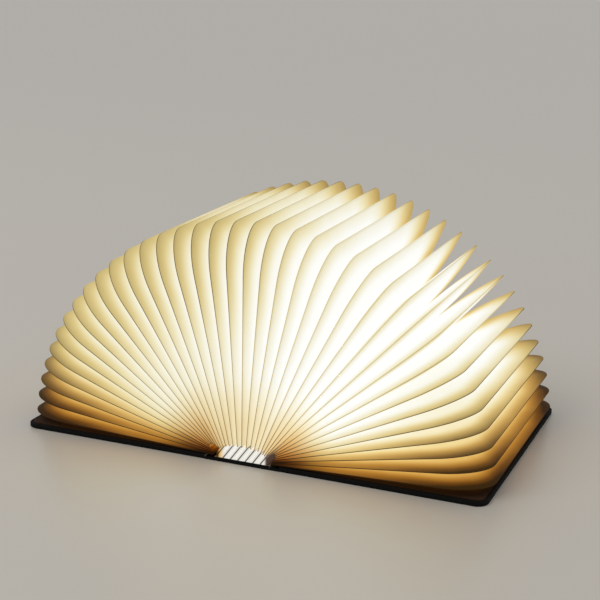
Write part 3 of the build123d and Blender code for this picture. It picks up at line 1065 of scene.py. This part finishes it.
    def build(self, paper: bpy.types.Material) -> None:
        """Builds every page in its place in the fan.

        Args:
            paper: The lit paper.
        """
        for place in self.places():
            if place == 0:
                for side in Side:
                    self.add_page(f"page_middle_{side.word}", place, [side.value], side, paper)
            else:
                side = Side.LEFT if place < 0 else Side.RIGHT
                self.add_page(f"pleat_{place + self.half_count + 1:02d}", place, [-1, 1], side, paper)

    def add_page(
        self, name: str, place: int, sheets: Iterable[int], side: Side, paper: bpy.types.Material
    ) -> None:
        """Builds one page and works out where its blend between the spine and the next body outward would
        start and end.

        Args:
            name: The piece's name.
            place: Its place in the fan.
            sheets: Which of its sheets the piece has, -1 and 1.
            side: The side of the book that it turns with.
            paper: The lit paper.
        """
        shell = Shell()
        for sheet in sheets:
            self.add_sheet(shell, place, sheet)
        piece = shell.piece(name, paper)
        outward = place + side.value
        body, end_lean = f"{side.word}_cover", RIGHT_ANGLE
        if outward in self.places():
            body, end_lean = self.node(outward), abs(self.planes[float(outward)].lean)
        start, end = self.blend_ends(place, side, end_lean)
        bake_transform(piece)
        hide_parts(self.node(place))
        log.info("%s: place %d, between spine and %s", name, place, body)

    def blend_ends(self, place: int, side: Side, end_lean: float) -> tuple[Vector, Vector]:
        """Where a page's blend starts and ends, so that its valleys turn as far as they lean.

        Args:
            place: The page's place in the fan.
            side: The side of the book that it turns with.
            end_lean: The lean of the body that it blends to.

        Returns:
            The start and the end of the blend.
        """
        plane = self.planes[float(place)]
        outer = self.planes[place + side.value / 2]
        high = blend_place(abs(outer.lean) / end_lean)
        offset = plane.room(outer, self.blend_radius) * side.value
        low, low_offset = 0.0, 0.0
        if place != 0:
            inner = self.planes[place - side.value / 2]
            low = blend_place(abs(inner.lean) / end_lean)
            low_offset = plane.room(inner, self.blend_radius) * side.value
        span = (offset - low_offset) / (high - low)
        begin = low_offset - low * span
        outward = plane.normal * side.value
        return plane.root + outward * begin, plane.root + outward * (begin + span)


# ---------------------------------------------------------------- covers and spine


@dataclass
class HingeCloth:
    """The strip of cloth that bends between the spine and a cover."""

    side: Side
    steps: int = 14
    rows: int = 12

    def build(self, cloth: bpy.types.Material) -> None:
        """Builds the strip.

        Args:
            cloth: The book cloth.
        """
        node = f"{self.side.word}_hinge_cloth"
        low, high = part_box(node)
        rows = [lerp(low.y, high.y, row / self.rows) for row in range(self.rows + 1)]
        rings = []
        for step in range(self.steps + 1):
            x = lerp(low.x, high.x, step / self.steps)
            under = [Vector((x, y, low.z)) for y in rows]
            over = [Vector((x, y, high.z)) for y in reversed(rows)]
            rings.append(under + over)
        shell = Shell()
        shell.tube(rings, {})
        piece = shell.piece(f"{self.side.word}_joint_cloth", cloth)
        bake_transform(piece)
        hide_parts(node)
        log.info("%s bends between spine and cover", piece.name)


def dress_nodes(frame: Mapping[str, Any], materials: Mapping[str, bpy.types.Material]) -> None:
    """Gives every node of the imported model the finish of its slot.

    Args:
        frame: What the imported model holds.
        materials: The finishes by slot.
    """
    for part in frame["record"]["subparts"]:
        obj = frame["nodes"][part["node"]]
        obj.data.materials.clear()
        obj.data.materials.append(materials[part["material_slot"]])
        log.info("%s: %s", part["node"], part["material_slot"])


# ---------------------------------------------------------------- studio


@dataclass
class Studio:
    """The floor, the soft light and the camera."""

    camera_place: Vector = field(default_factory=lambda: Vector((0.4007, -0.9947, 0.4037)))
    yaw: float = math.radians(-21.903)
    pitch: float = math.radians(-15.859)
    roll: float = math.radians(1.156)
    lens: float = 85.24
    sensor: float = 36.0
    view_distance: float = 100.0
    floor_size: float = 30.0
    floor_colour: Colour = paint(196, 190, 180)
    floor_roughness: float = 0.32
    sky_colour: Colour = paint(226, 222, 214)
    sky_light: float = 0.62
    key_power: float = 14.0
    key_size: float = 1.4
    key_place: Vector = field(default_factory=lambda: Vector((-1.0, -1.3, 1.9)))

    def build(self) -> None:
        """Sets up the studio round the lamp."""
        self.add_camera()
        self.add_floor()
        self.add_world()
        self.add_key()
        bpy.context.scene.view_settings.view_transform = "Standard"

    def add_camera(self) -> None:
        """Adds the camera at the photograph's viewing angle."""
        ahead = Vector(
            (
                math.sin(self.yaw) * math.cos(self.pitch),
                math.cos(self.yaw) * math.cos(self.pitch),
                math.sin(self.pitch),
            )
        )
        level = Vector((math.cos(self.yaw), -math.sin(self.yaw), 0))
        upright = level.cross(ahead)
        right = level * math.cos(self.roll) + upright * math.sin(self.roll)
        up = upright * math.cos(self.roll) - level * math.sin(self.roll)
        camera = bpy.data.cameras.new("camera")
        camera.lens = self.lens
        camera.sensor_width = self.sensor
        camera.clip_end = self.view_distance
        obj = bpy.data.objects.new("camera", camera)
        turn = Matrix((right, up, -ahead)).transposed().to_4x4()
        obj.matrix_world = Matrix.Translation(self.camera_place) @ turn
        bpy.context.scene.collection.objects.link(obj)
        bpy.context.scene.camera = obj

    def add_floor(self) -> None:
        """Adds the plain pale floor."""
        half = self.floor_size / 2
        corners = [(-half, -half, 0), (half, -half, 0), (half, half, 0), (-half, half, 0)]
        mesh = bpy.data.meshes.new("floor")
        mesh.from_pydata(corners, [], [(0, 1, 2, 3)])
        floor = bpy.data.objects.new("floor", mesh)
        bpy.context.scene.collection.objects.link(floor)
        material = bpy.data.materials.new("floor")
        material.use_nodes = True
        graph = Graph(material.node_tree)
        graph.surface({"Base Color": self.floor_colour, "Roughness": self.floor_roughness})
        mesh.materials.append(material)

    def add_world(self) -> None:
        """Adds the even light from all round."""
        world = bpy.data.worlds.new("studio")
        world.use_nodes = True
        graph = Graph(world.node_tree)
        rays = graph.add("ShaderNodeLightPath", {}, {})
        seen = Value(graph, rays.outputs["Is Camera Ray"])
        light = self.background(graph, paint(255, 255, 255), self.sky_light)
        wall = self.background(graph, self.sky_colour, 1.0)
        shader = graph.add("ShaderNodeMixShader", {}, {0: seen, 1: light, 2: wall})
        graph.add("ShaderNodeOutputWorld", {}, {"Surface": Value(graph, shader.outputs[0])})
        bpy.context.scene.world = world

    def background(self, graph: Graph, colour: Colour, strength: float) -> Value:
        """One even background of the world."""
        node = graph.add("ShaderNodeBackground", {}, {"Color": colour, "Strength": strength})
        return Value(graph, node.outputs[0])

    def add_key(self) -> None:
        """Adds one large soft lamp above the left of the camera."""
        lamp = bpy.data.lights.new("key", "AREA")
        lamp.energy = self.key_power
        lamp.size = self.key_size
        obj = bpy.data.objects.new("key", lamp)
        obj.location = self.key_place
        obj.rotation_euler = (-self.key_place).to_track_quat("-Z", "Y").to_euler()
        bpy.context.scene.collection.objects.link(obj)


def main() -> None:
    """Builds the lamp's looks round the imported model."""
    logging.basicConfig(level=logging.INFO, format="%(message)s")
    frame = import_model()
    materials = {finish.slot: finish.make() for finish in FINISHES}
    dress_nodes(frame, materials)
    PageFan(frame).build(materials["page_paper"])
    for side in Side:
        HingeCloth(side).build(materials["cloth"])
    Studio().build()


if __name__ == "__main__":
    main()
